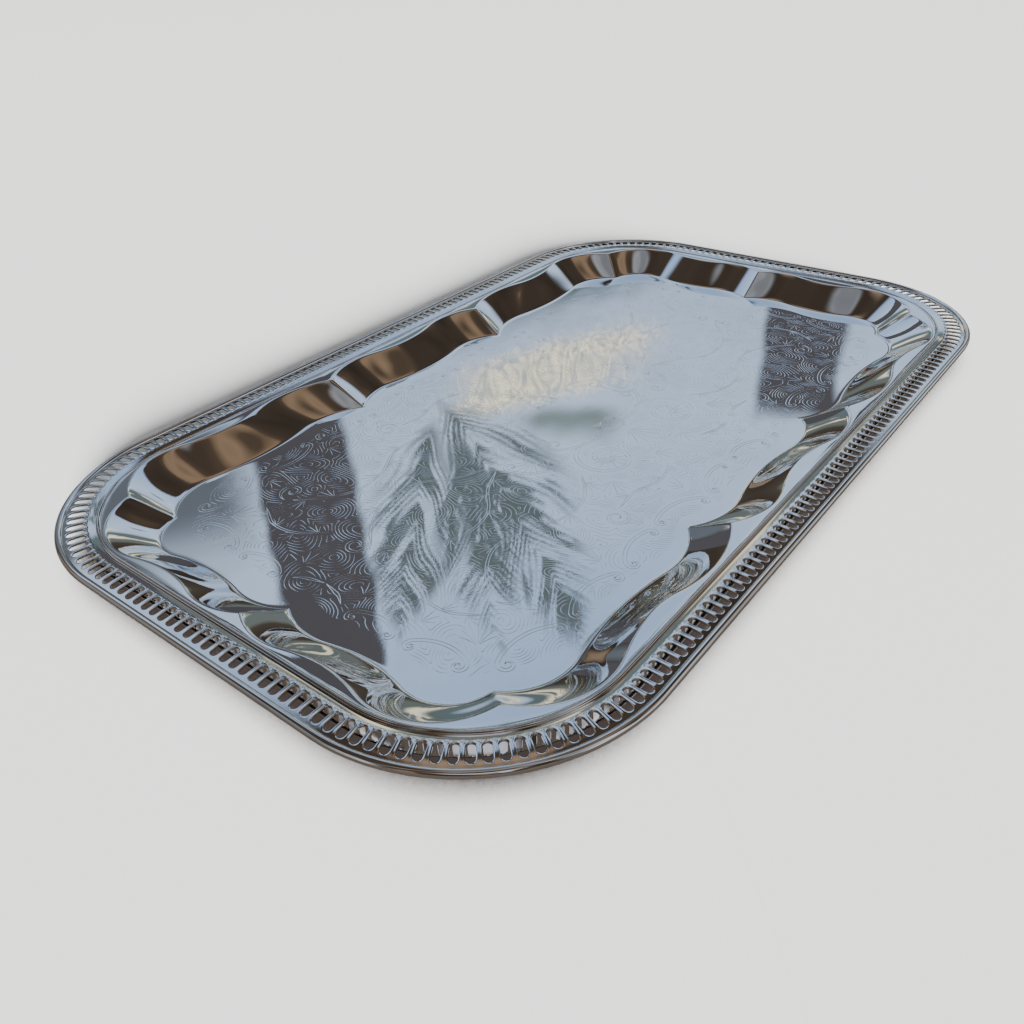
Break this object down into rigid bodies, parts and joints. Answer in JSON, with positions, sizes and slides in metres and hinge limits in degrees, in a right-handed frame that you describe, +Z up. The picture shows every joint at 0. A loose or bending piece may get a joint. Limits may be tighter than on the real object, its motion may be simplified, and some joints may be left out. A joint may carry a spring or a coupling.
{
  "type": "serving tray",
  "caption": "Oblong chromed serving tray with a shallow scalloped well, a pierced slotted border and a rolled wired edge.",
  "frame": {"origin": "centre of the flat underside that the tray rests on", "axes": "+X along the tray's length, +Y across it, +Z up out of the well"},
  "size_m": [0.4576, 0.2806, 0.0133],
  "materials": {
    "tray_chrome": "mirror-bright plate, lightly scratched, chased floor",
    "border_chrome": "mirror-bright plate, lightly dulled in the slots",
    "wire_steel": "plain drawn steel wire, hidden in the curl"
  },
  "bodies": {
    "root": {"well_pan": "tray_chrome", "pierced_border": "border_chrome", "edge_wire": "wire_steel"}
  },
  "joints": []
}
